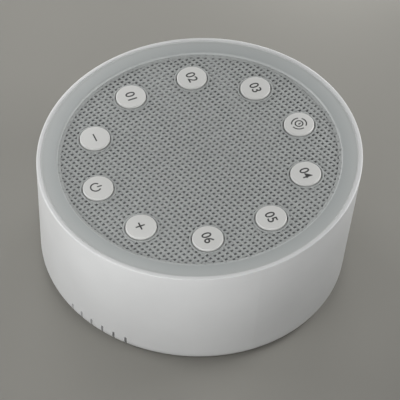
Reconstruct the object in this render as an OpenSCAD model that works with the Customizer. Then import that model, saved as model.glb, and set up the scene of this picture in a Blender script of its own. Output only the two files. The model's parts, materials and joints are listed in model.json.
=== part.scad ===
// White noise sound machine: a round drum with a sloping top face, ten round
// push-keys in a ring round the speaker grille, vents low on the front wall and
// a power inlet low on the back wall.
// Millimetres. +Z is up, the front is -Y, and Z = 0 is the table that it stands on.

/* [Housing] */
// Diameter of the drum at its rim
rim_d = 126; // [120:1:136]
// Diameter of the drum at the table
base_d = 121; // [116:1:130]
// Height of the rim's middle above the table
body_h = 52.3; // [48:0.1:66]
// Slope of the top face down to the front, in degrees
top_tilt = 4.5; // [0:0.5:7]
// Thickness of the drum's wall
wall = 2.4; // [2:0.1:3]
// Width of the lip round the top face
lip_w = 1.5; // [1.2:0.1:2]
// Radius of the lip's outer edge
lip_outer_round = 0.8; // [0.4:0.1:1]
// Radius of the lip's inner edge
lip_inner_round = 0.3; // [0.2:0.1:0.6]
// Radius of the edge round the bottom
edge_r = 3.5; // [2.5:0.5:5]
// Width of the flat band between that edge and the base cover
band_w = 1.2; // [0.8:0.1:1.8]
// Reach of the ledge that carries the grille
ledge_w = 8; // [7:0.5:9]
// Thickness of the ledge
ledge_t = 2; // [1.6:0.1:3]

/* [Vents] */
// Number of vent slots in each of the two groups, one to each side of the front
vent_count = 6; // [3:1:8]
// Angle from the front to the first slot of a group, in degrees
vent_start = 17.5; // [10:0.5:20]
// Angle from one vent slot to the next, in degrees
vent_pitch = 5; // [4:0.5:6]
// Width of a vent slot
vent_w = 1; // [0.8:0.1:1.6]
// Height of a vent slot's round end above the table
vent_top = 6.4; // [4.5:0.1:8]

/* [Top face] */
// Width of the smooth bezel ring
ring_w = 6.5; // [5:0.1:7.5]
// Drop from the lip to the bezel ring's outer edge
ring_drop = 0.2; // [0.2:0.1:0.4]
// Radius of the cove inside that edge
ring_cove = 0.4; // [0.4:0.1:0.9]
// Drop from the foot of the cove to the bezel ring's inner edge
ring_dish = 0.1; // [0:0.1:0.3]
// Gap between the bezel ring and the lip
ring_gap = 0.05; // [0.03:0.01:0.1]
// Thickness of the bezel ring's skirt
skirt_t = 0.7; // [0.6:0.1:1]
// Drop from the lip to the cloth
cloth_drop = 1.6; // [1.5:0.1:2.4]
// Thickness of the grille cloth
cloth_t = 0.5; // [0.4:0.1:0.8]
// Thickness of the grille plate
plate_t = 1.8; // [1.5:0.1:2.5]
// Gap all round between pieces that drop into one another
fit_gap = 0.2; // [0.15:0.05:0.3]

/* [Grille holes] */
// Diameter of a sound hole in the grille plate
hole_d = 2.4; // [1.6:0.1:2.8]
// Distance from one ring of sound holes to the next
hole_pitch = 3.8; // [3.6:0.1:5]
// Rings of sound holes round the middle hole
hole_rings = 6; // [3:1:6]

/* [Keys] */
// Distance from the bezel ring's inner edge in to the circle of key centres
key_inset = 13; // [11:0.5:14]
// Diameter of a key
key_d = 11.9; // [10:0.1:13]
// Height of a key's face above the cloth
key_proud = 0.8; // [0.4:0.1:1]
// Radius of a key's top edge
key_round = 0.5; // [0.3:0.1:0.8]
// Gap round a key in its well
key_gap = 0.3; // [0.3:0.05:0.5]
// How far a key moves when it is pressed
key_travel = 0.8; // [0.4:0.1:1]
// How far a key's flange reaches under the edge of its well
flange_lap = 0.8; // [0.6:0.1:1.2]
// Thickness of a key's flange
flange_t = 1; // [0.8:0.1:1.4]
// Diameter of a key's stem
stem_d = 3.4; // [3:0.1:4]
// Length of a key's stem
stem_l = 3.5; // [3:0.5:6]

/* [Key board] */
// Width of a key switch
switch_w = 6; // [5.6:0.1:8]
// Height of a key switch
switch_h = 3.6; // [3.4:0.1:5]
// Thickness of a switch dome
dome_t = 0.2; // [0.1:0.05:0.3]
// Width of the ring-shaped key board
key_board_w = 14; // [12:1:16]
// Thickness of both circuit boards
board_t = 1.6; // [1:0.2:2]

/* [Speaker] */
// Gap between the speaker's flange and the keys' flanges
speaker_gap = 6.6; // [6.2:0.2:9]
// Thickness of the gasket under the grille plate
gasket_t = 2.5; // [2.3:0.1:4]
// Width of the frame's flange
speaker_flange_w = 3.6; // [3:0.1:4]
// Thickness of the frame's pressed sheet
frame_t = 1.2; // [0.8:0.1:1.6]
// Depth of the frame below its flange
frame_h = 10; // [9:0.5:13]
// Width of the surround's roll
roll_w = 4.2; // [3:0.1:4.6]
// Thickness of the surround, cone and spider
skin_t = 0.4; // [0.3:0.1:0.6]
// Diameter of the voice coil's former
coil_d = 16.8; // [14:0.1:18]
// Diameter of the ring magnet
magnet_d = 32; // [30:1:38]
// Thickness of the ring magnet
magnet_t = 7; // [5:0.5:9]
// Thickness of the steel plates on the magnet
pole_t = 2; // [1.5:0.1:3]

/* [Base] */
// Thickness of the base cover
cover_t = 2.2; // [2:0.1:3]
// Height of the housing above the table
foot_proud = 0.8; // [0.6:0.1:2]
// Diameter of a rubber foot
foot_d = 10; // [8:0.5:12]
// Depth of a foot's seat in the base cover
foot_seat = 0.6; // [0.4:0.1:0.8]
// Distance from the base cover's edge in to the feet's centres
foot_inset = 10; // [8:0.5:14]
// Distance from the base cover's edge in to the housing's screw posts
post_inset = 5; // [4.5:0.5:7]
// Height of the screw posts
post_h = 20; // [14:1:24]

/* [Screws] */
// Diameter of the screws that hold the base cover
base_screw_d = 2.8; // [2.4:0.1:3]
// Length of those screws
base_screw_l = 12; // [8:1:14]
// Diameter of the small screws inside
small_screw_d = 2; // [1.6:0.1:2.2]
// Gap between a screw and the bore that it is driven into
screw_gap = 0.05; // [0.04:0.01:0.08]

/* [Main board] */
// Distance from the base cover's edge in to the sides of the main board
board_side_inset = 26; // [25:1:29]
// Distance from the base cover's edge in to the back of the main board
board_back_inset = 12; // [11:1:16]
// Depth of the main board without its tongue
board_d = 52; // [48:1:54]
// Grid that the pieces on the main board are sized and placed by
grid = 2; // [1.6:0.1:2.2]
// Height of the main board above the base cover
standoff_h = 4; // [3:0.5:6]

/* [Power inlet] */
// Width of the inlet's block
jack_w = 9; // [8:0.5:11]
// Height of the inlet's block
jack_h = 11; // [10:0.5:12]
// Length of the inlet's block
jack_l = 14; // [12:0.5:16]
// Bore of the inlet, for the plug's barrel
inlet_d = 5.8; // [5.6:0.1:6.4]
// Depth of the inlet's bore
inlet_depth = 10; // [9:0.5:11]
// Diameter of the inlet's nose
nose_d = 8.4; // [8:0.1:9]
// Diameter of the hole in the housing that the plug's grip goes through
grip_hole_d = 11.5; // [10:0.5:12]

/* [Hidden] */

$fn = 96;
eps = 0.01;
far = 200;
arc_steps = 8;

// housing
rim_r = rim_d / 2;
base_r = base_d / 2;
taper = (rim_r - base_r) / body_h;
rim_shift = rim_r * taper * tan(top_tilt);
edge_z = foot_proud + edge_r;
edge_x = base_r + taper * edge_z - edge_r * sqrt(1 + taper * taper);
cover_seat_r = edge_x - band_w;
post_circle_r = cover_seat_r - post_inset;
foot_circle_r = cover_seat_r - foot_inset;
recess_r = rim_r - lip_w;
mask_r = rim_r / cos(top_tilt) + 0.05;
ledge_r = recess_r - ledge_w;
cloth_z = -cloth_drop;
plate_top = cloth_z - cloth_t;
plate_under = plate_top - plate_t;
ledge_under = plate_under - ledge_t;

// top face
ring_r = recess_r - ring_gap;
ring_inner_r = recess_r - ring_w;
ring_cove_turn = 25;
ring_cove_z = ring_cove * sin(ring_cove_turn) - ring_drop;
ring_face = ring_cove_z - ring_cove;
ring_edge_round = 0.7 * (ring_face - ring_dish - cloth_z);
plate_r = ring_r - skirt_t - fit_gap;

// keys: the power key is at the front, and the ring is counted anticlockwise from it
key_step = 36;
key_r = key_d / 2;
key_circle_r = ring_inner_r - key_inset;
well_r = key_r + key_gap;
key_top = cloth_z + key_proud;
flange_r = well_r + flange_lap;
flange_under = plate_under - flange_t;
stem_tip = flange_under - stem_l;

// key board
tip_lap = 0.3;
press_gap = 0.3;
switch_top = stem_tip + tip_lap;
switch_bore_r = stem_d / 2 + 0.3;
switch_floor = stem_tip - key_travel - press_gap - dome_t;
key_board_top = switch_top - switch_h;
key_board_under = key_board_top - board_t;

// screws
small_r = small_screw_d / 2;
small_head_r = small_screw_d * 1.1;
small_head_t = small_screw_d * 0.75;
small_bore_r = small_r + screw_gap;
small_boss_r = small_r + 1.6;
base_screw_r = base_screw_d / 2;
base_head_r = base_screw_d;
base_head_t = 1.1;
spigot_r = small_boss_r - 0.3;
grille_screw_circle_r = ledge_r + spigot_r + 1.3;

// speaker, down from the underside of the grille plate
speaker_r = key_circle_r - flange_r - speaker_gap;
gasket_under = plate_under - gasket_t;
frame_top = gasket_under - skin_t;
frame_lip_under = frame_top - frame_t;
frame_mouth_r = speaker_r - speaker_flange_w;
frame_floor = frame_lip_under - frame_h;
magnet_r = magnet_d / 2;
frame_floor_r = magnet_r - 0.5;
lug_circle_r = speaker_r + 3;
lug_r = small_boss_r + 0.6;
coil_r = coil_d / 2;
coil_wire_t = 0.5;
coil_gap = 0.4;
cone_lip_r = frame_mouth_r - roll_w;
cone_lap = 1;
cone_neck_z = frame_floor + 0.44 * frame_h;
cap_h = pole_t + 0.6;
strip_w = 9;
strip_l = 5;
strip_gap = 0.4;
strip_under = frame_lip_under - strip_gap * 3;
pole_top = frame_floor - frame_t;
magnet_top = pole_top - pole_t;
magnet_under = magnet_top - magnet_t;
yoke_under = magnet_under - pole_t;

// base and main board, in heights above the table
cover_top = foot_proud + cover_t;
board_under = cover_top + standoff_h;
board_top = board_under + board_t;
jack_back = base_r - 3.2;
jack_front = jack_back - jack_l;
inlet_z = board_top + jack_h / 2;
nose_end = sqrt(pow(drum_r(inlet_z) - wall, 2) - pow(nose_d / 2, 2)) - fit_gap;
tongue_w = jack_w + 9;
board_w = 2 * (cover_seat_r - board_side_inset);
board_y = cover_seat_r - board_back_inset - board_d / 2;
board_hole_x = board_w / 2 - 2 * grid;
board_hole_y = board_d / 2 - 2 * grid;
post_r = base_screw_r + 2;
strap_w = 5 * grid;
strap_t = grid / 4;
wire_r = 0.7;
lead_pitch = 5;
pin_pitch = 2.4;
header_h = 2.5 * grid;
header_top = board_top + header_h;

// ---- shared shapes ----

// Points of an arc in a profile, from angle a0 to angle a1
function arc(cx, cy, r, a0, a1) =
    [for (i = [0:arc_steps]) let (a = a0 + (a1 - a0) * i / arc_steps) [cx + r * cos(a), cy + r * sin(a)]];

// Radius of the drum's outside at height z
function drum_r(z) = base_r + taper * z;

// A point given in the top face's frame, as a point of the part
function from_top(p) = [
    p[0],
    (rim_shift + p[1]) * cos(top_tilt) - p[2] * sin(top_tilt),
    body_h + (rim_shift + p[1]) * sin(top_tilt) + p[2] * cos(top_tilt)
];

// Places children in the top face's frame, whose Z = 0 is the plane of the lip
module on_top() {
    translate([0, 0, body_h])
        rotate([top_tilt, 0, 0])
            translate([0, rim_shift, 0])
                children();
}

// Everything below depth z of the top face's frame
module below_top(z) {
    on_top()
        translate([-far / 2, -far / 2, z - far])
            cube(far);
}

module ring_of(count, r, start = 0) {
    for (i = [0:count - 1])
        rotate([0, 0, start + i * 360 / count])
            translate([r, 0, 0])
                children();
}

module tube(outer_r, inner_r, z0, z1) {
    rotate_extrude()
        polygon([[inner_r, z0], [outer_r, z0], [outer_r, z1], [inner_r, z1]]);
}

// A pan-head screw with its head's underside at Z = 0, its shank up along +Z and a cross slot
module screw(r, length, head_r, head_t) {
    difference() {
        rotate_extrude()
            polygon(concat(
                [[0, length], [0, -head_t]],
                [[head_r * 0.7, -head_t]],
                [[head_r, -head_t * 0.5], [head_r, 0], [r, 0], [r, length - r], [r * 0.4, length]]
            ));
        for (a = [0, 90])
            rotate([0, 0, a])
                translate([-head_r * 0.55, -head_r * 0.12, -head_t - eps])
                    cube([head_r * 1.1, head_r * 0.24, head_t * 0.5]);
    }
}

// A round wire along straight stretches with round bends
module wire(points, r) {
    for (i = [0:len(points) - 2])
        let (d = points[i + 1] - points[i])
            translate(points[i])
                rotate([0, acos(d[2] / norm(d)), atan2(d[1], d[0])])
                    cylinder(r = r, h = norm(d), $fn = 24);
    for (i = [1:len(points) - 2])
        translate(points[i])
            sphere(r = r * 1.02, $fn = 24);
}

// Unit vector from a to b
function along(a, b) = (b - a) / norm(b - a);

// The normals of the stretches before and after point i of a path, joined as a mitre
function mitre(points, i) =
    let (
        last = len(points) - 1,
        d0 = along(points[max(i - 1, 0)], points[max(i, 1)]),
        d1 = along(points[min(i, last - 1)], points[min(i + 1, last)]),
        n0 = [-d0[1], d0[0]],
        n1 = [-d1[1], d1[0]]
    )
    (n0 + n1) / (1 + n0 * n1);

// A flat strap of width w and thickness t along points in the YZ plane, centred on X = 0
module strap(points, w, t) {
    last = len(points) - 1;
    rotate([90, 0, 90])
        linear_extrude(height = w, center = true)
            polygon(concat(
                [for (i = [0:last]) points[i] + mitre(points, i) * t / 2],
                [for (i = [last:-1:0]) points[i] - mitre(points, i) * t / 2]
            ));
}

// ---- housing ----

// The drum's outside, whole, up past the sloping cut
module drum_solid() {
    z_top = body_h + rim_d * sin(top_tilt);
    edge_turn = atan(taper);
    rotate_extrude($fn = 180)
        polygon(concat(
            [[0, foot_proud]],
            arc(edge_x, edge_z, edge_r, -90, -edge_turn),
            [[drum_r(z_top), z_top], [0, z_top]]
        ));
}

// Rounds the lip's outer edge and cuts the top to its slope
module top_mask() {
    on_top()
        rotate_extrude($fn = 180)
            polygon(concat(
                [[0, 0], [0, -far], [mask_r + far, -far]],
                arc(mask_r - lip_outer_round, -lip_outer_round, lip_outer_round, 0, 90)
            ));
}

// The sunk top face, with the lip's inner edge rounded
module top_recess() {
    on_top()
        rotate_extrude($fn = 180)
            polygon(concat(
                [[0, 1], [0, plate_under], [recess_r, plate_under]],
                arc(recess_r + lip_inner_round, -lip_inner_round, lip_inner_round, 180, 90),
                [[recess_r + lip_inner_round, 1]]
            ));
}

// The hollow below the ledge, open at the bottom for the base cover
module drum_hollow() {
    shoulder_z = cover_top + 0.2;
    wall_z = shoulder_z + drum_r(shoulder_z) - wall - cover_seat_r;
    z_top = body_h + rim_d * sin(top_tilt);
    intersection() {
        rotate_extrude($fn = 180)
            polygon([
                [0, -1],
                [cover_seat_r, -1],
                [cover_seat_r, shoulder_z],
                [drum_r(wall_z) - wall, wall_z],
                [drum_r(z_top) - wall, z_top],
                [0, z_top]
            ]);
        below_top(ledge_under);
    }
}

// Slots open at the bottom edge, with round tops
module vent_slots() {
    for (side = [-1, 1])
        for (i = [0:vent_count - 1])
            rotate([0, 0, -90 + side * (vent_start + i * vent_pitch)])
                translate([cover_seat_r - 1, 0, 0]) {
                    translate([0, -vent_w / 2, -1])
                        cube([rim_r, vent_w, vent_top - vent_w / 2 + 1]);
                    translate([0, 0, vent_top - vent_w / 2])
                        rotate([0, 90, 0])
                            cylinder(d = vent_w, h = rim_r, $fn = 24);
                }
}

// A post for a base screw, tied to the wall by a rib
module screw_post() {
    rib_t = 1.6;
    difference() {
        union() {
            translate([0, 0, cover_top])
                cylinder(r = post_r, h = post_h);
            translate([0, -rib_t / 2, cover_top])
                cube([base_r - post_circle_r - wall / 2, rib_t, post_h]);
        }
        translate([0, 0, cover_top - 1])
            cylinder(r = base_screw_r + screw_gap, h = post_h - 2);
    }
}

// The plug's way in through the wall, with its outer edge bevelled
module grip_hole() {
    bevel = 0.5;
    bevel_y = drum_r(inlet_z) - bevel - pow(grip_hole_d / 2, 2) / rim_d;
    translate([0, drum_r(inlet_z) - wall - 1, inlet_z])
        rotate([-90, 0, 0])
            cylinder(d = grip_hole_d, h = wall + 5);
    translate([0, bevel_y, inlet_z])
        rotate([-90, 0, 0])
            cylinder(d1 = grip_hole_d, d2 = grip_hole_d + 2 * wall, h = wall);
}

module outer_shell() {
    color("#e6e6e2")
        difference() {
            union() {
                difference() {
                    intersection() {
                        drum_solid();
                        top_mask();
                    }
                    drum_hollow();
                }
                ring_of(4, post_circle_r, 45)
                    screw_post();
            }
            top_recess();
            on_top()
                translate([0, 0, ledge_under - 1])
                    cylinder(r = ledge_r, h = ledge_t + 2);
            on_top()
                ring_of(5, grille_screw_circle_r, 324)
                    translate([0, 0, ledge_under - 1])
                        cylinder(r = spigot_r + fit_gap, h = ledge_t + 2);
            vent_slots();
            grip_hole();
        }
}

// ---- top face ----

// A dished ring: its outer edge curls up to the lip, and its inner edge is rounded over the cloth
module bezel_ring() {
    color("#a3a8a8")
        on_top()
            rotate_extrude($fn = 180)
                polygon(concat(
                    [[ring_r, plate_under], [ring_r, -ring_drop]],
                    arc(ring_r - ring_cove, ring_cove_z, ring_cove, -ring_cove_turn, -90),
                    arc(ring_inner_r + ring_edge_round, ring_face - ring_dish - ring_edge_round,
                        ring_edge_round, 90, 180),
                    [
                        [ring_inner_r, cloth_z],
                        [ring_r - skirt_t, cloth_z],
                        [ring_r - skirt_t, plate_under]
                    ]
                ));
}

module key_wells(z0, z1) {
    ring_of(10, key_circle_r, -90)
        translate([0, 0, z0])
            cylinder(r = well_r, h = z1 - z0);
}

module grille_cloth() {
    color("#8c918e")
        on_top()
            difference() {
                translate([0, 0, plate_top])
                    cylinder(r = plate_r, h = cloth_t, $fn = 180);
                key_wells(plate_top - 1, cloth_z + 1);
            }
}

// Sound holes in rings round the middle, six more in each ring
module sound_holes() {
    translate([0, 0, plate_under - 1])
        cylinder(d = hole_d, h = plate_t + 2, $fn = 24);
    for (k = [1:hole_rings])
        ring_of(6 * k, k * hole_pitch, 90)
            translate([0, 0, plate_under - 1])
                cylinder(d = hole_d, h = plate_t + 2, $fn = 24);
}

module plate_boss(r, z_end, bore_l) {
    difference() {
        translate([0, 0, z_end])
            cylinder(r = r, h = plate_under - z_end + eps);
        translate([0, 0, z_end - 1])
            cylinder(r = small_bore_r, h = bore_l + 1);
    }
}

module grille_plate() {
    color("#3b3e40")
        on_top()
            union() {
                difference() {
                    translate([0, 0, plate_under])
                        cylinder(r = plate_r, h = plate_t, $fn = 180);
                    key_wells(plate_under - 1, plate_top + 1);
                    sound_holes();
                    ring_of(5, grille_screw_circle_r, 324)
                        translate([0, 0, plate_under - 1])
                            cylinder(r = small_bore_r, h = 2);
                }
                ring_of(5, grille_screw_circle_r, 324)
                    plate_boss(spigot_r, ledge_under, ledge_t + 1);
                ring_of(5, key_circle_r, 288)
                    plate_boss(small_boss_r, key_board_top, 6);
                ring_of(4, lug_circle_r, 45)
                    plate_boss(small_boss_r, frame_top, gasket_t);
            }
}

// A key: cap, retaining flange and the stem that works its switch. i counts round from the front.
module key(i) {
    color("#e2e2de")
        on_top()
            rotate([0, 0, -90 + i * key_step])
                translate([key_circle_r, 0, 0])
                    rotate_extrude($fn = 96)
                        polygon(concat(
                            [[0, key_top]],
                            arc(key_r - key_round, key_top - key_round, key_round, 90, 0),
                            [
                                [key_r, plate_under],
                                [flange_r, plate_under],
                                [flange_r, flange_under],
                                [stem_d / 2, flange_under],
                                [stem_d / 2, stem_tip],
                                [0, stem_tip]
                            ]
                        ));
}

module grille_screws() {
    color("silver")
        on_top()
            ring_of(5, grille_screw_circle_r, 324)
                translate([0, 0, ledge_under])
                    screw(small_r, ledge_t, spigot_r + 0.6, small_head_t);
}

// ---- key board ----

module key_board() {
    color("#2e6b3f")
        on_top()
            difference() {
                tube(key_circle_r + key_board_w / 2, key_circle_r - key_board_w / 2,
                    key_board_under, key_board_top);
                ring_of(5, key_circle_r, 288)
                    translate([0, 0, key_board_under - 1])
                        cylinder(r = small_r + 0.2, h = board_t + 2);
            }
}

module key_switches() {
    color("#26282a")
        on_top()
            ring_of(10, key_circle_r, -90)
                difference() {
                    translate([-switch_w / 2, -switch_w / 2, key_board_top])
                        cube([switch_w, switch_w, switch_h]);
                    translate([0, 0, switch_floor])
                        cylinder(r = switch_bore_r, h = switch_h);
                }
}

module switch_domes() {
    color("gold")
        on_top()
            ring_of(10, key_circle_r, -90)
                translate([0, 0, switch_floor])
                    cylinder(r = switch_bore_r - 0.1, h = dome_t);
}

module key_board_screws() {
    color("silver")
        on_top()
            ring_of(5, key_circle_r, 288)
                translate([0, 0, key_board_under])
                    screw(small_r, board_t + 5, small_head_r, small_head_t);
}

// ---- speaker ----

module speaker_gasket() {
    color("#222222")
        on_top()
            tube(speaker_r, frame_mouth_r + 0.3, gasket_under, plate_under);
}

// Rubber half-roll between the frame's flange and the cone
module speaker_surround() {
    roll_r = roll_w / 2;
    mid_r = frame_mouth_r - roll_r;
    color("#1c1c1c")
        on_top()
            rotate_extrude()
                polygon(concat(
                    [[speaker_r, frame_top], [speaker_r, gasket_under], [frame_mouth_r, gasket_under]],
                    arc(mid_r, gasket_under, roll_r, 0, 180),
                    [[cone_lip_r - cone_lap, gasket_under], [cone_lip_r - cone_lap, frame_top]],
                    arc(mid_r, frame_top, roll_r - skin_t, 180, 0)
                ));
}

module speaker_frame() {
    lug_h = frame_t;
    color("#4a4c4e")
        on_top()
            difference() {
                union() {
                    rotate_extrude()
                        polygon([
                            [frame_mouth_r, frame_top],
                            [speaker_r, frame_top],
                            [speaker_r, frame_lip_under],
                            [frame_mouth_r + frame_t, frame_lip_under],
                            [frame_floor_r + frame_t, frame_floor],
                            [frame_floor_r, pole_top],
                            [coil_r + coil_wire_t + coil_gap + 1, pole_top],
                            [coil_r + coil_wire_t + coil_gap + 1, frame_floor],
                            [frame_floor_r - 0.6, frame_floor]
                        ]);
                    ring_of(4, lug_circle_r, 45)
                        translate([0, 0, frame_lip_under])
                            cylinder(r = lug_r, h = lug_h);
                    ring_of(4, 0, 45)
                        translate([frame_mouth_r + frame_t, -lug_r, frame_lip_under])
                            cube([lug_circle_r - frame_mouth_r - frame_t, 2 * lug_r, lug_h]);
                }
                ring_of(4, lug_circle_r, 45)
                    translate([0, 0, frame_lip_under - 1])
                        cylinder(r = small_r + 0.2, h = frame_t + 2);
                frame_windows();
            }
}

// Four openings between the frame's spokes
module frame_windows() {
    window_w = frame_floor_r * 1.1;
    ring_of(4, 0)
        translate([frame_floor_r - 3, -window_w / 2, frame_floor + 1.2])
            cube([speaker_r, window_w, frame_h - 2.4]);
}

module speaker_cone() {
    color("#2b2b2b")
        on_top()
            rotate_extrude()
                polygon([
                    [cone_lip_r, frame_top],
                    [cone_lip_r - cone_lap, frame_top],
                    [coil_r + skin_t + eps, cone_neck_z + skin_t],
                    [coil_r + eps, cone_neck_z],
                    [coil_r + skin_t + eps, cone_neck_z - skin_t],
                    [cone_lip_r - cone_lap + skin_t / 2, frame_top - skin_t],
                    [cone_lip_r, frame_top - skin_t]
                ]);
}

module dust_cap() {
    color("#242424")
        on_top()
            cap_shell(coil_r - 0.6, cap_h);
}

// A spherical cap of radius r and height h, standing inside the cone's neck
module cap_shell(r, h) {
    ball_r = (r * r + h * h) / (2 * h);
    reach = asin(r / ball_r);
    rotate_extrude()
        polygon(concat(
            arc(0, cone_neck_z + skin_t + h - ball_r, ball_r, 90 - reach, 90),
            arc(0, cone_neck_z + skin_t + h - ball_r, ball_r - skin_t, 90, 90 - reach)
        ));
}

// Former and winding, running in the magnet's gap
module voice_coil() {
    former_end = magnet_top - 0.6;
    color("#b5651d")
        on_top()
            rotate_extrude()
                polygon([
                    [coil_r - skin_t, cone_neck_z + skin_t],
                    [coil_r, cone_neck_z + skin_t],
                    [coil_r, pole_top + 0.8],
                    [coil_r + coil_wire_t, pole_top + 0.8],
                    [coil_r + coil_wire_t, former_end],
                    [coil_r - skin_t, former_end]
                ]);
}

// Corrugated ring that centres the coil on the frame's floor
module speaker_spider() {
    inner = coil_r + 0.05;
    outer = frame_floor_r - 0.8;
    rise = 1;
    seat = 1.4;
    waves = 3;
    pitch = (outer - seat - inner) / (2 * waves);
    crest = [for (i = [0:2 * waves]) [inner + i * pitch, frame_floor + rise + (i % 2 == 0 ? 0 : 0.7)]];
    color("#c9a24b")
        on_top()
            rotate_extrude()
                polygon(concat(
                    [for (p = crest) [p[0], p[1] + skin_t]],
                    [
                        [outer - seat, frame_floor + skin_t],
                        [outer, frame_floor + skin_t],
                        [outer, frame_floor],
                        [outer - seat - skin_t, frame_floor]
                    ],
                    [for (i = [2 * waves:-1:0]) [crest[i][0] - (i == 2 * waves ? skin_t : 0), crest[i][1]]]
                ));
}

module magnet_top_plate() {
    color("#b9bcc0")
        on_top()
            tube(magnet_r - 0.5, coil_r + coil_wire_t + coil_gap, magnet_top, pole_top);
}

module ring_magnet() {
    color("#3a3a3c")
        on_top()
            tube(magnet_r, coil_r + coil_wire_t + 2, magnet_under, magnet_top);
}

module magnet_yoke() {
    pole_r = coil_r - skin_t - coil_gap;
    color("#b9bcc0")
        on_top() {
            translate([0, 0, yoke_under])
                cylinder(r = magnet_r - 0.5, h = pole_t);
            translate([0, 0, yoke_under])
                cylinder(r = pole_r, h = pole_top - yoke_under);
        }
}

module terminal_strip() {
    color("#7a5230")
        on_top()
            translate([frame_mouth_r + frame_t + strip_gap, -strip_w / 2, strip_under])
                cube([strip_l, strip_w, frame_lip_under - strip_under]);
}

module speaker_screws() {
    color("silver")
        on_top()
            ring_of(4, lug_circle_r, 45)
                translate([0, 0, frame_lip_under])
                    screw(small_r, frame_t + gasket_t - 0.8, small_head_r, small_head_t);
}

// Two leads from the terminal strip down to their header on the main board
module speaker_wires() {
    lead_x = frame_mouth_r + frame_t + strip_gap + 0.72 * strip_l;
    pin_x = board_w / 2 - 3 * grid;
    color("#b02a2a")
        for (side = [-0.5, 0.5])
            wire([
                from_top([lead_x, side * lead_pitch, strip_under]),
                from_top([lead_x, side * lead_pitch, strip_under - 0.8 * lead_pitch]),
                [lead_x - 1, board_y + side * pin_pitch, header_top + 3 * grid],
                [pin_x, board_y + side * pin_pitch, header_top + 1.5 * grid],
                [pin_x, board_y + side * pin_pitch, header_top]
            ], wire_r);
}

// ---- main board ----

module main_board() {
    color("#1f5c38")
        difference() {
            union() {
                translate([-board_w / 2, board_y - board_d / 2, board_under])
                    cube([board_w, board_d, board_t]);
                translate([-tongue_w / 2, board_y, board_under])
                    cube([tongue_w, jack_back - 1.5 - board_y, board_t]);
            }
            at_board_holes()
                translate([0, 0, board_under - 1])
                    cylinder(r = small_r + 0.4, h = board_t + 2);
        }
}

module at_board_holes() {
    for (x = [-1, 1])
        for (y = [-1, 1])
            translate([x * board_hole_x, board_y + y * board_hole_y, 0])
                children();
}

module board_screws() {
    color("silver")
        at_board_holes()
            translate([0, 0, board_top])
                rotate([180, 0, 0])
                    screw(small_r, board_t + standoff_h - 0.5, small_head_r, small_head_t);
}

// A chip centred at x, y from the board's middle, all in steps of the grid
module chip(x, y, w, d, h) {
    translate([(x - w / 2) * grid, board_y + (y - d / 2) * grid, board_top])
        cube([w, d, h] * grid);
}

// Sound processor, memory and amplifier
module board_chips() {
    color("#1b1c1e") {
        chip(-4, -4, 4.5, 4.5, 0.7);
        chip(-10, -4, 2.5, 3, 0.8);
        chip(5, 2, 3, 5, 0.9);
    }
}

// Cans with a crimped ring near the foot, each at x, y and height in steps of the grid
module capacitors() {
    can_r = 1.6 * grid;
    crimp_z = 0.7 * grid;
    crimp = 0.15 * grid;
    color("#2f4f8f")
        for (p = [[-6, 6, 4], [-10, 6, 4], [8, -6, 3.5]])
            translate([p[0] * grid, board_y + p[1] * grid, board_top])
                rotate_extrude($fn = 48)
                    polygon([
                        [0, 0],
                        [can_r, 0],
                        [can_r, crimp_z - crimp],
                        [can_r - crimp, crimp_z],
                        [can_r, crimp_z + crimp],
                        [can_r, p[2] * grid - crimp],
                        [can_r - crimp, p[2] * grid],
                        [0, p[2] * grid]
                    ]);
}

// Drum-core coil: a winding between two cheeks
module power_coil() {
    cheek_r = 1.7 * grid;
    cheek_t = grid / 2;
    coil_h = 2 * grid;
    color("#333333")
        translate([-1.5 * grid, board_y + 6 * grid, board_top]) {
            cylinder(r = cheek_r, h = cheek_t);
            cylinder(r = cheek_r - 0.3 * grid, h = coil_h);
            translate([0, 0, coil_h - cheek_t])
                cylinder(r = cheek_r, h = cheek_t);
        }
}

// Headers for the speaker leads and the key board's ribbon, one at each end of the ribbon
module board_headers() {
    strap_header = [strap_w + grid, 2 * grid, header_h];
    color("#e8e4d8") {
        translate([board_w / 2 - 4.5 * grid, board_y - 2 * grid, board_top])
            cube([3 * grid, 4 * grid, header_h]);
        translate([-strap_header[0] / 2, board_y - board_d / 2 + grid, board_top])
            cube(strap_header);
        on_top()
            translate([-strap_header[0] / 2, -key_circle_r + grid / 2, key_board_under - 1.5 * grid])
                cube([strap_header[0], 2 * grid, 1.5 * grid]);
    }
}

// Flat ribbon from the key board down to the main board
module key_ribbon() {
    start = from_top([0, -key_circle_r + 1.5 * grid, key_board_under - 1.5 * grid]);
    out = from_top([0, -key_circle_r + 1.5 * grid, key_board_under - 3 * grid]);
    low_z = header_top + 1.5 * grid;
    in_y = board_y - board_d / 2 + 2 * grid;
    color("#d8d4c8")
        strap([
            [start[1], start[2]],
            [out[1], out[2]],
            [out[1] + grid / 5, low_z + 2 * grid],
            [out[1] + 2 * grid, low_z],
            [in_y - grid, low_z],
            [in_y, low_z - 0.75 * grid],
            [in_y, header_top]
        ], strap_w, strap_t);
}

// ---- power inlet ----

module dc_jack() {
    color("#1d1d1f")
        difference() {
            union() {
                translate([-jack_w / 2, jack_front, board_top])
                    cube([jack_w, jack_l, jack_h]);
                translate([0, jack_back - 1, inlet_z])
                    rotate([-90, 0, 0])
                        cylinder(d = nose_d, h = nose_end - jack_back + 1);
            }
            translate([0, nose_end - inlet_depth, inlet_z])
                rotate([-90, 0, 0])
                    cylinder(d = inlet_d, h = inlet_depth + 1);
        }
}

// ---- base ----

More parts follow.
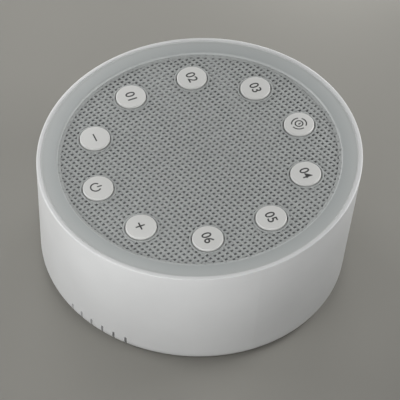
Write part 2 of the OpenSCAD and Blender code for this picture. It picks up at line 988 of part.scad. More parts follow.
module base_cover() {
    color("#d9d9d4")
        difference() {
            union() {
                translate([0, 0, foot_proud])
                    cylinder(r = cover_seat_r - fit_gap, h = cover_t, $fn = 180);
                at_board_holes()
                    translate([0, 0, cover_top - eps])
                        cylinder(r = small_boss_r, h = standoff_h + eps);
            }
            at_board_holes()
                translate([0, 0, cover_top - 0.5])
                    cylinder(r = small_bore_r, h = standoff_h + 1);
            ring_of(4, post_circle_r, 45) {
                translate([0, 0, -1])
                    cylinder(r = base_screw_r + 0.3, h = cover_top + 2);
                translate([0, 0, -1])
                    cylinder(r = base_head_r + 0.3, h = foot_proud + base_head_t + 1.1);
            }
            ring_of(4, foot_circle_r)
                translate([0, 0, -1])
                    cylinder(d = foot_d + 2 * fit_gap, h = foot_proud + foot_seat + 1);
        }
}

module rubber_feet() {
    bevel = 0.4;
    color("#2a2a2a")
        ring_of(4, foot_circle_r)
            rotate_extrude($fn = 64)
                polygon([
                    [0, 0],
                    [foot_d / 2 - bevel, 0],
                    [foot_d / 2, bevel],
                    [foot_d / 2, foot_proud + foot_seat],
                    [0, foot_proud + foot_seat]
                ]);
}

module base_screws() {
    color("silver")
        ring_of(4, post_circle_r, 45)
            translate([0, 0, foot_proud + base_head_t + 0.1])
                screw(base_screw_r, base_screw_l, base_head_r, base_head_t);
}

outer_shell();
bezel_ring();
grille_cloth();
grille_plate();
key(0);  // power_key
key(1);  // plus_key
key(2);  // sound_key_6
key(3);  // sound_key_5
key(4);  // sound_key_4
key(5);  // timer_key
key(6);  // sound_key_3
key(7);  // sound_key_2
key(8);  // sound_key_1
key(9);  // minus_key
key_board();
key_switches();
switch_domes();
key_board_screws();
grille_screws();
speaker_gasket();
speaker_surround();
speaker_frame();
speaker_cone();
dust_cap();
voice_coil();
speaker_spider();
magnet_top_plate();
ring_magnet();
magnet_yoke();
terminal_strip();
speaker_screws();
speaker_wires();
key_ribbon();
main_board();
board_screws();
board_chips();
capacitors();
power_coil();
board_headers();
dc_jack();
base_cover();
rubber_feet();
base_screws();
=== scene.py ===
"""The looks of a round white sound machine: camera, light, materials, woven cloth and signs."""

import json
import math
import random

import bpy
from mathutils import Matrix, Vector


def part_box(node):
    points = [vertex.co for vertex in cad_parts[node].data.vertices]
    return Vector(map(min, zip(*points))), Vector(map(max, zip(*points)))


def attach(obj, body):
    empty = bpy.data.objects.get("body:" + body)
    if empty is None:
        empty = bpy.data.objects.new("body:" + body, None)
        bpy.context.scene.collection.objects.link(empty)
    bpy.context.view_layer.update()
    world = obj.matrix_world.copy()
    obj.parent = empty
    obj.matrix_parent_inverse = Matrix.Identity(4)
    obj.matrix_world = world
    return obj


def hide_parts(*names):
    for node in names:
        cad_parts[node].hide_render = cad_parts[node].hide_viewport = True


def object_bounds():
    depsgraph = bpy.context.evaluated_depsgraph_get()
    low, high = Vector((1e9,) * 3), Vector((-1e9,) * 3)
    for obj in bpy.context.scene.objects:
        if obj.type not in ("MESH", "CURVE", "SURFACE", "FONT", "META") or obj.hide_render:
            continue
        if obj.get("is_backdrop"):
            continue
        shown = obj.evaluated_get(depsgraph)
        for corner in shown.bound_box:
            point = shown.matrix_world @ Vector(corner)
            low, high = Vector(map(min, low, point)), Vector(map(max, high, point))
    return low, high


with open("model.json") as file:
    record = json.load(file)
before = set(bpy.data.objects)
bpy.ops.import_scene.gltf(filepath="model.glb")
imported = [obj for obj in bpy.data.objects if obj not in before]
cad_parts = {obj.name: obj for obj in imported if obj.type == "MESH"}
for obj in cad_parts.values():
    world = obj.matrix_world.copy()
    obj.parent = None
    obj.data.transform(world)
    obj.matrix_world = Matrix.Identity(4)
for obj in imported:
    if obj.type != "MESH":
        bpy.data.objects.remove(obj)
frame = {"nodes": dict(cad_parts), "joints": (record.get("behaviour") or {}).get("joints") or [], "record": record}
cad_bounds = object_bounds()

MM = 0.001

# ---- the frame of the sloping top face ----
PRESS_AXIS = Vector(frame["joints"][0]["axis"]).normalized()
TILT = math.atan2(-PRESS_AXIS.y, PRESS_AXIS.z)
CLOTH_LOW, CLOTH_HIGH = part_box("grille_cloth")
CLOTH_MIDDLE = (CLOTH_LOW + CLOTH_HIGH) / 2
CLOTH_RADIUS = (CLOTH_HIGH.x - CLOTH_LOW.x) / 2
CLOTH_THICKNESS = 0.5 * MM
TOP = Matrix.Translation(CLOTH_MIDDLE) @ Matrix.Rotation(TILT, 4, "X")
MIDDLE = Vector((0, 0))

# ---- bezel ring ----
BEZEL_INNER_RADIUS = 55 * MM
BEZEL_OUTER_RADIUS = 61.45 * MM
# painted light: bands of this width at the bezel's inner and outer edges, in the two paler colours below, which
# lighten the shadow lines there
BEZEL_PAINTED_LIGHT_WIDTH = 0.7 * MM
BEZEL_INNER_EDGE_PAINTED_LIGHT_COLOR = (0.53, 0.55, 0.545)
BEZEL_OUTER_EDGE_PAINTED_LIGHT_COLOR = (0.62, 0.63, 0.623)
# painted shade: the colour that the bezel darkens to towards the cloth
BEZEL_PAINTED_SHADE_COLOR = (0.37, 0.391, 0.39)
BEZEL_OUTER_COLOR = (0.442, 0.461, 0.455)
BEZEL_ROUGHNESS = 0.38
BEZEL_GRAIN = 0.003

# ---- keys: counted anticlockwise from the front, as they lie round the top face ----
KEY_RING = [
    "power_key", "plus_key", "sound_key_6", "sound_key_5", "sound_key_4",
    "timer_key", "sound_key_3", "sound_key_2", "sound_key_1", "minus_key",
]
SOUND_KEYS = 6
KEY_CIRCLE = 42 * MM
KEY_RADIUS = 5.95 * MM
KEY_GAP = 0.3 * MM
KEY_PROUD = 0.8 * MM
WELL_RADIUS = KEY_RADIUS + KEY_GAP


def key_centre(name):
    """The middle of a key, in the top face's frame at the level of the cloth's middle."""
    angle = math.radians(-90 + KEY_RING.index(name) * 360 / len(KEY_RING))
    return Vector((KEY_CIRCLE * math.cos(angle), KEY_CIRCLE * math.sin(angle), 0))


WELLS = [key_centre(name).to_2d() for name in KEY_RING]

# ---- cloth: rows of warp, crossed by weft, both in the top face's frame ----
WARP_TURN = math.radians(16.2)
WEFT_TURN = math.radians(104.9)
WARP_SPACING = 2.12 * MM
WEFT_SPACING = 1.92 * MM
THREAD_HALF_WIDTH = 0.56 * MM
THREAD_HALF_THICKNESS = 0.14 * MM
THREAD_WIDTH_SPREAD = (0.94, 1.06)
THREAD_SIDES = 6
WEAVE_RISE = 0.11 * MM
STEPS_PER_CROSSING = 3
CLOTH_SEED = 7

# uneven pull: how far it moves a thread, its waves' lengths in mm and directions in degrees,
# and how far inside the cloth's edges it comes to its full
PULL = 0.35 * MM
PULL_WAVES = [(62, 20), (78, 115), (55, 70), (90, 160)]
PULL_FADE = 7 * MM

# ---- gauze and glue, which lie on the plate from the cloth's lower side up ----
GAUZE_THICKNESS = 0.05 * MM
GLUE_THICKNESS = 0.44 * MM
EDGE_GLUE_WIDTH = 1.2 * MM
WELL_GLUE_WIDTH = 0.8 * MM
EDGE_GLUE_STEPS = 180
CIRCLE_STEPS = 72

# ---- signs printed on the keys ----
INK_LIFT = 0.012 * MM
INK_THICKNESS = 0.02 * MM
STROKE = 0.56 * MM
MITRE_LIMIT = 0.5
ARC_STEPS = 40
NUMERAL_SIZE = 5.4 * MM
NUMERAL_BOLDNESS = 0.06 * MM
NUMERAL_STEPS = 6

# the power and plus signs sit a little off their key's middle, this way
OFF_CENTRE_WAY = Vector((-0.427, -0.904))

# ---- camera ----
FRAME_PIXELS = 400
SENSOR = 36.0
FOCAL_PIXELS = 2564.0
CLIP_START, CLIP_END = 0.05, 20
CAMERA_DISTANCE = 1.0290
CAMERA_ELEVATION = math.radians(48.055)
CAMERA_AZIMUTH = math.radians(64.705)
CAMERA_ROLL = math.radians(4.226)
CAMERA_YAW = math.radians(-0.171)
CAMERA_PITCH = math.radians(-0.955)
AIM = Vector((0, 0, 0.8 * MM))

# ---- floor and light ----
FLOOR_REACH = 6.0
FLOOR_COLOR = (0.24, 0.234, 0.213)
FLOOR_ROUGHNESS = 0.9
WORLD_COLOR = (0.62, 0.61, 0.58)
WORLD_STRENGTH = 0.03
BACKDROP_STRENGTH = 0.6

# where the floor's own paleness starts and where it is full, in metres from the middle
GLOW_STARTS, GLOW_FULL = 0.16, 0.28

# panels: distances and sizes in metres
FAR, NEAR = 0.24, 0.17
PANEL_SIZE = {FAR: 0.1, NEAR: 0.08}
PANEL_AIM = Vector((0, 0, 0.05))

# azimuth from the camera's side and elevation in degrees, distance in metres, power in watts
PANELS = [
    ("left_back_panel", -150, 27, FAR, 0.164),
    ("left_high_panel", -120, 50, NEAR, 0.032),
    ("left_panel", -90, 18, FAR, 0.231),
    ("front_left_panel", -30, 35, NEAR, 0.071),
    ("front_panel", -10, 18, FAR, 0.096),
    ("front_right_panel", 30, 35, NEAR, 0.043),
    ("right_back_panel", 105, 38, FAR, 0.266),
    ("back_panel", 165, 18, FAR, 0.196),
]

# ---- noise in the materials: waves per metre, and the band that most of its values lie in ----
NOISE_LOW, NOISE_HIGH = 0.3, 0.7
FLOW_WAVES = 38
GLOSS_WAVES = 90
GRAIN_WAVES = 2600
TARNISH_WAVES = 60
BRUSH_WAVES = 900
FADE_WAVES = 120
STAIN_WAVES = 6
FIBRE_STRETCH = (0.12, 1, 1)
FIBRE_ROUGHNESS = 0.85


def in_scene(name, data):
    """A new object in the scene."""
    made = bpy.data.objects.new(name, data)
    bpy.context.scene.collection.objects.link(made)
    return made


def make_camera():
    """A long lens that looks down at the front right of the object, slightly rolled."""
    data = bpy.data.cameras.new("camera")
    data.sensor_width = SENSOR
    data.lens = FOCAL_PIXELS / FRAME_PIXELS * SENSOR
    data.clip_start, data.clip_end = CLIP_START, CLIP_END
    to_camera = Vector((0, -math.cos(CAMERA_ELEVATION), math.sin(CAMERA_ELEVATION)))
    ahead = -to_camera
    right = Vector((1, 0, 0))
    up = right.cross(ahead)
    level = Matrix((right, -up, ahead))
    turned = (
        Matrix.Rotation(CAMERA_PITCH, 3, "X")
        @ Matrix.Rotation(CAMERA_YAW, 3, "Y")
        @ Matrix.Rotation(CAMERA_ROLL, 3, "Z")
    )
    axes = (turned @ level).transposed() @ Matrix.Diagonal((1, -1, -1))
    round_z = Matrix.Rotation(CAMERA_AZIMUTH, 4, "Z")
    place = Matrix.Translation(AIM) @ round_z @ Matrix.Translation(to_camera * CAMERA_DISTANCE)
    camera = in_scene("camera", data)
    camera.matrix_world = place @ axes.to_4x4()
    bpy.context.scene.camera = camera


# ---- materials ----
class Nodes:
    """A node tree, with short calls for its nodes."""

    def __init__(self, tree):
        self.tree = tree

    def node(self, kind, **settings):
        made = self.tree.nodes.new(kind)
        for name, value in settings.items():
            setattr(made, name, value)
        return made

    def link(self, source, target):
        self.tree.links.new(source, target)

    def ranged(self, value, low, high, start=NOISE_LOW, end=NOISE_HIGH, **settings):
        """A value mapped to the range from low to high, which it reaches at start and end."""
        to_range = self.node("ShaderNodeMapRange", **settings)
        self.link(value, to_range.inputs["Value"])
        for socket, number in (
            ("From Min", start), ("From Max", end), ("To Min", low), ("To Max", high),
        ):
            to_range.inputs[socket].default_value = number
        return to_range.outputs["Result"]

    def seen_directly(self):
        """1 for what the camera sees, also in gloss and glass, and 0 for light that bounces."""
        path = self.node("ShaderNodeLightPath")
        seen = path.outputs["Is Camera Ray"]
        for ray in ("Is Glossy Ray", "Is Transmission Ray"):
            either = self.node("ShaderNodeMath", operation="MAXIMUM")
            self.link(seen, either.inputs[0])
            self.link(path.outputs[ray], either.inputs[1])
            seen = either.outputs["Value"]
        return seen


class Material(Nodes):
    """A node material under construction, with its Principled shader."""

    def __init__(self, name, color, roughness, metallic=0.0):
        self.material = bpy.data.materials.new(name)
        self.material.use_nodes = True
        super().__init__(self.material.node_tree)
        self.shader = self.tree.nodes["Principled BSDF"]
        self.shader.inputs["Base Color"].default_value = (*color, 1)
        self.shader.inputs["Roughness"].default_value = roughness
        self.shader.inputs["Metallic"].default_value = metallic
        self.place = self.node("ShaderNodeTexCoord").outputs["Object"]

    def noise(self, scale, detail, stretch=(1, 1, 1), turn=(0, 0, 0)):
        """Noise of a number of waves per metre, scaled along axes turned by angles."""
        mapping = self.node("ShaderNodeMapping")
        mapping.inputs["Scale"].default_value = stretch
        mapping.inputs["Rotation"].default_value = turn
        texture = self.node("ShaderNodeTexNoise")
        texture.inputs["Scale"].default_value = scale
        texture.inputs["Detail"].default_value = detail
        self.link(self.place, mapping.inputs["Vector"])
        self.link(mapping.outputs["Vector"], texture.inputs["Vector"])
        return texture.outputs["Fac"]

    def tint(self, value, shade):
        """Moves the colour towards shade where value is high."""
        mix = self.node("ShaderNodeMix", data_type="RGBA")
        self.link(value, mix.inputs["Factor"])
        source = self.shader.inputs["Base Color"]
        if source.is_linked:
            self.link(source.links[0].from_socket, mix.inputs["A"])
        else:
            mix.inputs["A"].default_value = source.default_value
        mix.inputs["B"].default_value = (*shade, 1)
        self.link(mix.outputs["Result"], source)

    def roughness(self, value):
        self.link(value, self.shader.inputs["Roughness"])

    def bump(self, value, height):
        """Gives the surface a relief of a height in millimetres."""
        bump = self.node("ShaderNodeBump")
        bump.inputs["Distance"].default_value = height * MM
        self.link(value, bump.inputs["Height"])
        self.link(bump.outputs["Normal"], self.shader.inputs["Normal"])

    def moulded_surface(self, roughness, grain, scale=GRAIN_WAVES):
        """Uneven gloss and a fine grain of a height in millimetres."""
        gloss = self.noise(GLOSS_WAVES, detail=5)
        self.roughness(self.ranged(gloss, roughness - 0.04, roughness + 0.05))
        self.bump(self.noise(scale, detail=2), grain)


def darker(color, share):
    """A colour taken down to a share of its brightness."""
    return [c * share for c in color]


def moulded(name, color, roughness, grain=0.006, scale=GRAIN_WAVES, shade=0.94):
    """Moulded plastic: spark-eroded fine grain, faint flow marks and uneven gloss.

    The grain is a height in millimetres and the scale its waves per metre. The shade is the
    share of the brightness that the flow marks keep."""
    made = Material(name, color, roughness)
    made.tint(made.ranged(made.noise(FLOW_WAVES, detail=4), 0, 1), darker(color, shade))
    made.moulded_surface(roughness, grain, scale)
    return made.material


def bezel():
    """The bezel ring's plastic: painted shade darkens it towards the cloth, and painted light pales both its
    edges.
    """
    made = Material("bezel_grey", BEZEL_OUTER_COLOR, BEZEL_ROUGHNESS)
    from_middle = made.node("ShaderNodeVectorMath", operation="DISTANCE")
    made.link(made.place, from_middle.inputs[0])
    from_middle.inputs[1].default_value = CLOTH_MIDDLE
    for start, end, color in (
        # painted shade, from the cloth's edge to the bezel's inner edge
        (CLOTH_RADIUS, BEZEL_INNER_RADIUS, BEZEL_PAINTED_SHADE_COLOR),
        # painted light at the bezel's inner edge, then at its outer edge
        (BEZEL_INNER_RADIUS + BEZEL_PAINTED_LIGHT_WIDTH, BEZEL_INNER_RADIUS, BEZEL_INNER_EDGE_PAINTED_LIGHT_COLOR),
        (BEZEL_OUTER_RADIUS - BEZEL_PAINTED_LIGHT_WIDTH, BEZEL_OUTER_RADIUS, BEZEL_OUTER_EDGE_PAINTED_LIGHT_COLOR),
    ):
        made.tint(made.ranged(from_middle.outputs["Value"], 0, 1, start, end), color)
    made.moulded_surface(BEZEL_ROUGHNESS, BEZEL_GRAIN)
    return made.material


def metal(name, color, roughness, stretch=(1, 1, 12)):
    """Plated or brushed metal, slightly tarnished, with fine marks that run round Z.

    The stretch packs the marks closer along Z."""
    made = Material(name, color, roughness, metallic=1.0)
    lines = made.noise(BRUSH_WAVES, 4, stretch)
    made.roughness(made.ranged(lines, roughness - 0.08, roughness + 0.1))
    made.tint(made.ranged(made.noise(TARNISH_WAVES, detail=3), 0, 0.5), darker(color, 0.75))
    made.bump(lines, 0.004)
    return made.material


def fibrous(name, color, scale, depth, turn=0.0):
    """Spun or pressed fibres that run along X once turned, with darker gaps and faded patches.

    The scale is the fibres' waves per metre and the depth their relief in millimetres."""
    made = Material(name, color, FIBRE_ROUGHNESS)
    fibres = made.noise(scale, 5, FIBRE_STRETCH, (0, 0, -turn))
    made.tint(made.ranged(fibres, 1, 0), darker(color, 0.72))
    made.tint(made.ranged(made.noise(FADE_WAVES, detail=3), 0, 0.35), darker(color, 0.85))
    made.bump(fibres, depth)
    made.shader.inputs["Sheen Weight"].default_value = 0.15
    made.shader.inputs["Sheen Roughness"].default_value = 0.5
    return made.material


def make_materials():
    """One finish for each material slot of the record, and five for the scene's own pieces."""
    made = {
        "housing_white": moulded("housing_white", (0.665, 0.672, 0.673), 0.42, 0.004),
        "bezel_grey": bezel(),
        "key_white": moulded("key_white", (0.686, 0.688, 0.67), 0.45, 0.005, 3200),
        "plate_dark": moulded("plate_dark", (0.05, 0.054, 0.056), 0.6),
        "base_white": moulded("base_white", (0.6, 0.6, 0.585), 0.55, 0.02, 1500),
        "foot_rubber": moulded("foot_rubber", (0.03, 0.03, 0.03), 0.8, 0.01, 1800),
        "board_green": moulded("board_green", (0.02, 0.13, 0.05), 0.35, 0.004, 900, 0.6),
        "board_brown": fibrous("board_brown", (0.2, 0.1, 0.04), 900, 0.01),
        "switch_black": moulded("switch_black", (0.02, 0.02, 0.022), 0.5),
        "foam_black": moulded("foam_black", (0.02, 0.02, 0.02), 0.95, 0.06, 1400),
        "surround_rubber": moulded("surround_rubber", (0.015, 0.015, 0.015), 0.7),
        "frame_steel": moulded("frame_steel", (0.06, 0.06, 0.065), 0.45, 0.01, 1500),
        "cone_paper": fibrous("cone_paper", (0.03, 0.03, 0.03), 700, 0.02),
        "spider_cloth": fibrous("spider_cloth", (0.5, 0.35, 0.1), 1200, 0.03),
        "magnet_ferrite": moulded("magnet_ferrite", (0.05, 0.05, 0.055), 0.75, 0.02, 1200),
        "wire_red": moulded("wire_red", (0.5, 0.03, 0.02), 0.35),
        "ribbon_grey": moulded("ribbon_grey", (0.6, 0.58, 0.52), 0.4),
        "can_blue": moulded("can_blue", (0.03, 0.08, 0.3), 0.3),
        "header_ivory": moulded("header_ivory", (0.7, 0.67, 0.56), 0.5),
        "contact_metal": metal("contact_metal", (0.75, 0.6, 0.25), 0.3),
        "screw_steel": metal("screw_steel", (0.62, 0.62, 0.64), 0.32),
        "pole_steel": metal("pole_steel", (0.55, 0.56, 0.58), 0.35),
        "coil_copper": metal("coil_copper", (0.6, 0.25, 0.08), 0.35, (1, 1, 60)),
        "warp": fibrous("cloth_warp", (0.446, 0.463, 0.456), 2600, 0.03, WARP_TURN),
        "weft": fibrous("cloth_weft", (0.426, 0.443, 0.437), 2600, 0.03, WEFT_TURN),
        "gauze": fibrous("gauze", (0.162, 0.17, 0.168), 3200, 0.02),
        "glue": moulded("glue", (0.405, 0.42, 0.415), 0.6, 0.03, 900),
        "ink": moulded("sign_ink", (0.03, 0.031, 0.03), 0.6),
    }
    made["cloth_grey"] = made["warp"]
    return made


def dress_nodes(materials):
    """Gives each CAD node the material of its slot in the record."""
    slots = {row["node"]: row["material_slot"] for row in frame["record"]["subparts"]}
    for name, node in frame["nodes"].items():
        node.data.materials.clear()
        node.data.materials.append(materials[slots[name]])


# ---- shapes ----
def left_of(way):
    """A flat vector turned a quarter turn to its left."""
    return Vector((-way.y, way.x))


def flat_mesh(curve):
    """A curve's filled outline, as vertices and faces in the plane."""
    shape = bpy.data.objects.new("outline", curve)
    mesh = shape.to_mesh()
    vertices = [vertex.co.to_2d() for vertex in mesh.vertices]
    faces = [tuple(face.vertices) for face in mesh.polygons]
    shape.to_mesh_clear()
    bpy.data.objects.remove(shape)
    return vertices, faces


def prism(flat_vertices, flat_faces, low, high):
    """A closed solid with a flat shape as its top and bottom."""
    count = len(flat_vertices)
    vertices = [Vector((v.x, v.y, level)) for level in (low, high) for v in flat_vertices]
    faces, edges = [], set()
    for face in flat_faces:
        faces.append(tuple(count + i for i in face))
        faces.append(tuple(reversed(face)))
        edges.update(zip(face, face[1:] + face[:1]))
    for a, b in sorted(edges):
        if (b, a) not in edges:
            faces.append((a, b, count + b, count + a))
    return vertices, faces


def prisms(flats, low, high, centre=Vector((0, 0, 0))):
    """Flat shapes round a point of the top face, made solid between two levels of its frame."""
    vertices, faces = [], []
    for flat_vertices, flat_faces in flats:
        base = len(vertices)
        solid, solid_faces = prism(flat_vertices, flat_faces, low, high)
        vertices += [TOP @ (centre + vertex) for vertex in solid]
        faces += [tuple(base + i for i in face) for face in solid_faces]
    return vertices, faces


def circle(centre, radius, count=CIRCLE_STEPS):
    """Points of a whole circle, each once."""
    angles = [2 * math.pi * i / count for i in range(count)]
    return [centre + Vector((math.cos(a), math.sin(a))) * radius for a in angles]


def flat_ring(centre, inner, outer, count=CIRCLE_STEPS):
    """A flat ring, as vertices and faces in the plane."""
    vertices = circle(centre, inner, count) + circle(centre, outer, count)
    after = [(i + 1) % count for i in range(count)]
    return vertices, [(i, count + i, count + after[i], after[i]) for i in range(count)]


def new_piece(name, vertices, faces, body, materials, smooth=True):
    """A mesh piece that rides on a body."""
    mesh = bpy.data.meshes.new(name)
    mesh.from_pydata(vertices, [], faces)
    mesh.validate()
    mesh.polygons.foreach_set("use_smooth", [smooth] * len(mesh.polygons))
    for material in materials:
        mesh.materials.append(material)
    piece = in_scene(name, mesh)
    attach(piece, body)
    return piece


# ---- woven cloth ----
class Thread:
    """A straight thread before it is cut: its line, its width and how it weaves up and down."""

    def __init__(self, start, along, half_width, crossing, sign, is_weft):
        self.start = start
        self.along = along
        self.across = left_of(along)
        self.crossing = crossing
        self.sign = sign
        self.is_weft = is_weft
        angles = [2 * math.pi * side / THREAD_SIDES for side in range(THREAD_SIDES)]
        self.rails = [
            (math.cos(a) * half_width, math.sin(a) * THREAD_HALF_THICKNESS) for a in angles
        ]

    def rise(self, place):
        """The height of the thread's middle above the cloth's middle."""
        return self.sign * WEAVE_RISE * math.cos(math.pi * place / self.crossing)

    def surface_point(self, place, off, up, phases):
        """A point beside and above the middle, on the pulled cloth and outside its wells."""
        point = push_out(pulled(self.start + self.along * place + self.across * off, phases))
        return TOP @ Vector((point.x, point.y, self.rise(place) + up))


def chord(centre, radius, start, along):
    """Where a line from start along a unit vector enters and leaves a circle, and whether it does.

    A line that misses the circle has its nearest place as both."""
    middle = (centre - start).dot(along)
    away = (start + along * middle - centre).length
    half = math.sqrt(max(radius**2 - away**2, 0))
    return middle - half, middle + half, away < radius


def thread_stretches(thread):
    """The stretches of a thread that lie on the cloth and outside the key wells.

    Each end is a place on the thread with the circle that cuts it there, and which of that
    circle's two crossings it is."""
    low, high, meets = chord(MIDDLE, CLOTH_RADIUS, thread.start, thread.along)
    if not meets:
        return []
    cuts = []
    for centre in WELLS:
        enter, leave, cut = chord(centre, WELL_RADIUS, thread.start, thread.along)
        if cut:
            cuts.append((enter, leave, centre))
    ends = [(low, (MIDDLE, CLOTH_RADIUS, 0))]
    for enter, leave, centre in sorted(cuts, key=lambda cut: cut[0]):
        ends.append((enter, (centre, WELL_RADIUS, 0)))
        ends.append((leave, (centre, WELL_RADIUS, 1)))
    ends.append((high, (MIDDLE, CLOTH_RADIUS, 1)))
    return [(ends[i], ends[i + 1]) for i in range(0, len(ends), 2)]


def thread_rings(thread, stretch):
    """The rings of points along a stretch of a thread, each as one place for each rail.

    The rings at the two ends follow the circles that cut them."""
    (low, low_cut), (high, high_cut) = stretch
    step = thread.crossing / STEPS_PER_CROSSING
    starts = [thread.start + thread.across * off for off, _ in thread.rails]
    ends = []
    for centre, radius, which in (low_cut, high_cut):
        ends.append([chord(centre, radius, start, thread.along)[which] for start in starts])
    if any(first > last for first, last in zip(*ends)):
        return []
    nearest, farthest = max(ends[0]) + step / 2, min(ends[1]) - step / 2
    places = [k * step for k in range(math.ceil(low / step), math.floor(high / step) + 1)]
    inner = [[place] * THREAD_SIDES for place in places if nearest < place < farthest]
    return [ends[0], *inner, ends[1]]


def tube_faces(base, ring_count):
    """The faces that join rings of points into a tube with two caps, from a first vertex on."""
    faces = []
    for ring in range(base, base + (ring_count - 1) * THREAD_SIDES, THREAD_SIDES):
        for side in range(THREAD_SIDES):
            a, b = ring + side, ring + (side + 1) % THREAD_SIDES
            faces.append((b, b + THREAD_SIDES, a + THREAD_SIDES, a))
    last_ring = base + (ring_count - 1) * THREAD_SIDES
    faces.append(tuple(base + side for side in reversed(range(THREAD_SIDES))))
    faces.append(tuple(last_ring + side for side in range(THREAD_SIDES)))
    return faces


def pulled(point, phases):
    """A point of the cloth, moved as if the cloth was pulled unevenly when it was stretched.

    The pull fades out to nothing at the cloth's edge and round the key wells."""
    from_wells = min((point - centre).length for centre in WELLS) - WELL_RADIUS
    free = min(CLOTH_RADIUS - point.length, from_wells)
    fade = min(max(free / PULL_FADE, 0), 1)
    moved = point.copy()
    for (wavelength, direction), phase in zip(PULL_WAVES, phases):
        turn = math.radians(direction)
        way = Vector((math.cos(turn), math.sin(turn)))
        run = point.x * math.cos(turn) + point.y * math.sin(turn)
        swing = math.sin(run / (wavelength * MM) * 2 * math.pi + phase)
        moved += PULL / 2 * fade * swing * left_of(way)
    return moved


def push_out(point):
    """A point moved out of any key well that it lies in."""
    for centre in WELLS:
        away = point - centre
        if away.length < WELL_RADIUS:
            return centre + away.normalized() * WELL_RADIUS
    return point


def threads(rng):
    """All threads of the cloth, the warp and then the weft, each with its own drawn width."""
    for is_weft, turn, spacing, other_turn, other_spacing in (
        (False, WARP_TURN, WARP_SPACING, WEFT_TURN, WEFT_SPACING),
        (True, WEFT_TURN, WEFT_SPACING, WARP_TURN, WARP_SPACING),
    ):
        along = Vector((math.cos(turn), math.sin(turn)))
        across = left_of(along)
        other = Vector((math.cos(other_turn), math.sin(other_turn)))
        lean = along.dot(other) / across.dot(other)
        crossing = other_spacing / abs(math.sin(other_turn - turn))
        count = math.ceil(CLOTH_RADIUS / spacing)
        for i in range(-count, count + 1):
            start = across * (i * spacing) + along * (i * spacing * lean)
            half_width = THREAD_HALF_WIDTH * rng.uniform(*THREAD_WIDTH_SPREAD)
            sign = 1 if (i % 2 == 0) != is_weft else -1
            yield Thread(start, along, half_width, crossing, sign, is_weft)


def make_cloth(materials):
    """The grille cloth as a plain weave of flat threads, cut round the key wells."""
    rng = random.Random(CLOTH_SEED)
    phases = [rng.uniform(0, 2 * math.pi) for _ in PULL_WAVES]
    vertices, faces, face_materials = [], [], []
    for thread in threads(rng):
        for stretch in thread_stretches(thread):
            rings = thread_rings(thread, stretch)
            if rings:
                faces += tube_faces(len(vertices), len(rings))
            for ring in rings:
                for place, (off, up) in zip(ring, thread.rails):
                    vertices.append(thread.surface_point(place, off, up, phases))
        face_materials += [int(thread.is_weft)] * (len(faces) - len(face_materials))
    cloth = new_piece(
        "woven_cloth", vertices, faces, "housing",
        [materials["warp"], materials["weft"]],
    )
    cloth.data.polygons.foreach_set("material_index", face_materials)
    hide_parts("grille_cloth")


def make_gauze(materials):
    """The fine gauze between the grille cloth and its plate, which hides the plate's holes."""
    curve = bpy.data.curves.new("gauze_outline", "CURVE")
    curve.dimensions = "2D"
    curve.fill_mode = "BOTH"
    outlines = [circle(MIDDLE, CLOTH_RADIUS)] + [circle(centre, WELL_RADIUS) for centre in WELLS]
    for points in outlines:
        spline = curve.splines.new("POLY")
        spline.points.add(len(points) - 1)
        for corner, point in zip(spline.points, points):
            corner.co = (point.x, point.y, 0, 1)
        spline.use_cyclic_u = True
    low = -CLOTH_THICKNESS / 2
    vertices, faces = prisms([flat_mesh(curve)], low, low + GAUZE_THICKNESS)
    gauze = new_piece("gauze", vertices, faces, "housing", [materials["gauze"]])


def make_glue(materials):
    """The glue that holds the cloth and fills its weave at the edge and round the keys."""
    flats = [flat_ring(centre, WELL_RADIUS, WELL_RADIUS + WELL_GLUE_WIDTH) for centre in WELLS]
    edge_inner = BEZEL_INNER_RADIUS - EDGE_GLUE_WIDTH
    flats.append(flat_ring(MIDDLE, edge_inner, CLOTH_RADIUS, EDGE_GLUE_STEPS))
    low = -CLOTH_THICKNESS / 2
    vertices, faces = prisms(flats, low, low + GLUE_THICKNESS)
    new_piece("cloth_glue", vertices, faces, "housing", [materials["glue"]])


# ---- signs printed on the keys ----
def stroke(points, width, closed):
    """A flat ribbon of constant width along points, as vertices and quads in the plane."""
    count = len(points)
    vertices = []
    for i, point in enumerate(points):
        before = points[(i - 1) % count] if closed or i > 0 else point
        after = points[(i + 1) % count] if closed or i < count - 1 else point
        into = (point - before).normalized() if point != before else None
        out = (after - point).normalized() if after != point else None
        normal = left_of(((into or out) + (out or into)).normalized())
        reach = width / 2 / max(normal.dot(left_of(out or into)), MITRE_LIMIT)
        vertices += [point + normal * reach, point - normal * reach]
    faces = []
    for i in range(count if closed else count - 1):
        a, b = 2 * i, 2 * ((i + 1) % count)
        faces.append((a, a + 1, b + 1, b))
    return vertices, faces


def arc(centre, radius, start, end):
    """Points of an arc from one angle to another, in degrees."""
    turn = end - start
    angles = [math.radians(start + turn * i / ARC_STEPS) for i in range(ARC_STEPS + 1)]
    return [centre + Vector((math.cos(a), math.sin(a))) * radius for a in angles]


def power_sign():
    """An open ring with a bar through its gap, a little off the key's middle."""
    shift, radius, bar_low, bar_high = 0.9 * MM, 1.95 * MM, 0.55 * MM, 2.5 * MM
    gap = 80
    centre = OFF_CENTRE_WAY * shift
    ring = arc(centre, radius, 90 + gap / 2, 450 - gap / 2)
    bar = [centre + Vector((0, bar_low)), centre + Vector((0, bar_high))]
    return [(ring, STROKE, False), (bar, STROKE, False)]


def minus_sign():
    """One bar."""
    half = 2 * MM
    return [([Vector((-half, 0)), Vector((half, 0))], STROKE, False)]


def plus_sign():
    """Two crossed bars, a little off the key's middle."""
    shift, half, width = 0.3 * MM, 1.85 * MM, STROKE * 1.1
    centre = OFF_CENTRE_WAY * shift
    level = [centre + Vector((-half, 0)), centre + Vector((half, 0))]
    upright = [centre + Vector((0, -half)), centre + Vector((0, half))]
    return [(level, width, False), (upright, width, False)]


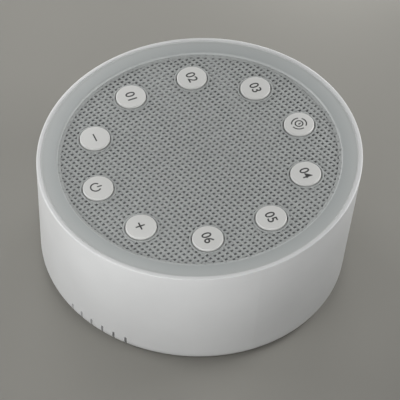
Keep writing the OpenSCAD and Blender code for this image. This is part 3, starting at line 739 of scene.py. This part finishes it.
def timer_sign():
    """A clock face with two hands inside a ring in three stretches."""
    dial_radius, ring_radius, gap = 1.5 * MM, 2.9 * MM, 28
    line, hand_line = STROKE * 0.9, STROKE * 0.75
    hands = [Vector((0, 0.85 * MM)), Vector((0, 0)), Vector((0.6 * MM, -0.3 * MM))]
    dial = arc(MIDDLE, dial_radius, 0, 360)[:-1]
    ring = [arc(MIDDLE, ring_radius, a + gap / 2, a + 120 - gap / 2) for a in (30, 150, 270)]
    return [(dial, line, True), (hands, hand_line, False)] + [(part, line, False) for part in ring]


def numeral(text):
    """The outline of a number in Blender's own plain font, as a flat mesh."""
    curve = bpy.data.curves.new("numeral", "FONT")
    curve.body = text
    curve.size = NUMERAL_SIZE
    curve.offset = NUMERAL_BOLDNESS
    curve.resolution_u = NUMERAL_STEPS
    vertices, faces = flat_mesh(curve)
    low = Vector((min(v.x for v in vertices), min(v.y for v in vertices)))
    high = Vector((max(v.x for v in vertices), max(v.y for v in vertices)))
    middle = (low + high) / 2
    return [v - middle for v in vertices], faces


def make_sign(key, flats, materials):
    """Prints flat shapes on a key's face, as thin closed layers of ink."""
    level = CLOTH_THICKNESS / 2 + KEY_PROUD
    vertices, faces = prisms(flats, level - INK_THICKNESS, level + INK_LIFT, key_centre(key))
    name = key.replace("key", "sign")
    new_piece(name, vertices, faces, key, [materials["ink"]], smooth=False)


def make_signs(materials):
    """Generic signs on four keys, and plain numbers on those that choose a sound."""
    drawn = {
        "power_key": power_sign(), "plus_key": plus_sign(),
        "minus_key": minus_sign(), "timer_key": timer_sign(),
    }
    for key, strokes in drawn.items():
        make_sign(key, [stroke(*line) for line in strokes], materials)
    for number in range(1, SOUND_KEYS + 1):
        make_sign(f"sound_key_{number}", [numeral(f"0{number}")], materials)


# ---- floor and light ----
def make_floor():
    """A wide plain floor, which stays pale where the panels' light doesn't reach."""
    mesh = bpy.data.meshes.new("floor")
    quadrants = [(-1, -1), (1, -1), (1, 1), (-1, 1)]
    corners = [(x * FLOOR_REACH, y * FLOOR_REACH, 0) for x, y in quadrants]
    mesh.from_pydata(corners, [], [(0, 1, 2, 3)])
    floor = in_scene("floor", mesh)
    made = Material("floor_paint", FLOOR_COLOR, FLOOR_ROUGHNESS)
    made.tint(made.ranged(made.noise(STAIN_WAVES, detail=3), 0, 0.5), darker(FLOOR_COLOR, 0.95))
    away = made.node("ShaderNodeVectorMath", operation="LENGTH")
    made.link(made.place, away.inputs[0])
    beyond = made.ranged(
        away.outputs["Value"], 0, 1, GLOW_STARTS, GLOW_FULL, interpolation_type="SMOOTHSTEP",
    )
    glow = made.node("ShaderNodeMath", operation="MULTIPLY")
    made.link(beyond, glow.inputs[0])
    made.link(made.seen_directly(), glow.inputs[1])
    made.shader.inputs["Emission Color"].default_value = (*FLOOR_COLOR, 1)
    made.link(glow.outputs["Value"], made.shader.inputs["Emission Strength"])
    floor.data.materials.append(made.material)
    floor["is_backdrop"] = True


def make_panels():
    """Soft panels in a ring close round the object."""
    for name, azimuth, elevation, distance, power in PANELS:
        data = bpy.data.lights.new(name, "AREA")
        data.energy = power
        data.shape = "SQUARE"
        data.size = PANEL_SIZE[distance]
        a = CAMERA_AZIMUTH + math.radians(azimuth)
        e = math.radians(elevation)
        way = Vector((math.sin(a) * math.cos(e), -math.cos(a) * math.cos(e), math.sin(e)))
        panel = in_scene(name, data)
        panel.visible_camera = False
        panel.location = way * distance
        panel.rotation_mode = "QUATERNION"
        panel.rotation_quaternion = (PANEL_AIM - panel.location).to_track_quat("-Z", "Y")


def make_room():
    """A dim even room, with a paler backdrop for what the camera sees directly."""
    world = bpy.data.worlds.new("room")
    bpy.context.scene.world = world
    world.use_nodes = True
    room = Nodes(world.node_tree)
    background = room.tree.nodes["Background"]
    background.inputs["Color"].default_value = (*WORLD_COLOR, 1)
    strength = room.ranged(room.seen_directly(), WORLD_STRENGTH, BACKDROP_STRENGTH, 0, 1)
    room.link(strength, background.inputs["Strength"])


make_camera()
materials = make_materials()
dress_nodes(materials)
make_cloth(materials)
make_gauze(materials)
make_glue(materials)
make_signs(materials)
make_floor()
make_panels()
make_room()
bpy.context.scene.view_settings.view_transform = "Standard"

boxes = {"cad": cad_bounds, "visual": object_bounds()}
{name: [list(corner) for corner in box] for name, box in boxes.items()}
